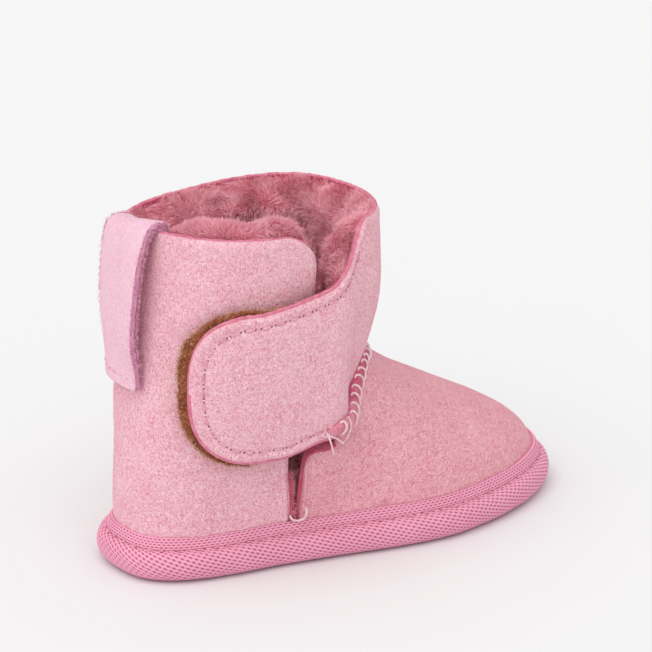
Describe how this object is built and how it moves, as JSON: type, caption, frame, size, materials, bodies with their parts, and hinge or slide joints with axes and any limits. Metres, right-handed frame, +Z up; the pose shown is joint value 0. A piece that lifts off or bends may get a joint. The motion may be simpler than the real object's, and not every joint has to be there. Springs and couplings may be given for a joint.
{
  "type": "baby bootie",
  "caption": "Soft suede baby bootie with a fleece lining, a wide wrap-over closing strap, a heel pull tab and a taped soft sole.",
  "frame": {"origin": "on the ground under the middle of the sole's length and width", "axes": "+X to the toe, +Y to the inner side of the foot, +Z up"},
  "size_m": [0.12, 0.0652, 0.0833],
  "materials": {
    "suede": "napped suede, light pink with a fine darker speckle",
    "cut_edge": "raw cut edge, deep pink",
    "fleece": "dense rose-pink wool pile",
    "tape": "twill-woven tape, hot pink",
    "tab_suede": "smooth thin suede, lavender pink",
    "grip_pad": "brown fuzzy hook-and-loop fabric",
    "closure_patch": "hook-and-loop fabric",
    "thread": "pale pink sewing thread",
    "foam": "soft foam sheet"
  },
  "bodies": {
    "root": {"outsole": "suede", "midsole_foam": "foam", "insole_fleece": "fleece", "rand_tape": "tape", "rand_stitch": "thread", "vamp_hide": "suede", "vamp_fleece": "fleece", "shaft_hide": "suede", "shaft_fleece": "fleece", "throat_whip_stitch": "thread", "vamp_side_stitch": "thread", "thread_tails": "thread", "slit_bar_tack": "thread", "pull_tab": "tab_suede", "pull_tab_stitch": "thread"},
    "strap": {"strap_hide": "suede", "strap_grip_pad": "grip_pad", "strap_edge_stitch": "thread"},
    "side_flap": {"side_flap_hide": "suede", "side_flap_fleece": "fleece", "closure_patch": "closure_patch"}
  },
  "joints": [
    {"name": "strap_open", "type": "hinge", "parent": "root", "child": "strap", "pos_m": [-0.0152, -0.0311, 0.05], "axis": [0, 0, 1], "range_deg": [0, 120]},
    {"name": "side_flap_open", "type": "hinge", "parent": "root", "child": "side_flap", "pos_m": [-0.03785, -0.02202, 0.04597], "axis": [0.3383, -0.1189, -0.9335], "range_deg": [0, 9.6]}
  ],
  "couplings": [
    {"joint": "side_flap_open", "follows": "strap_open", "ratio": 0.08}
  ]
}
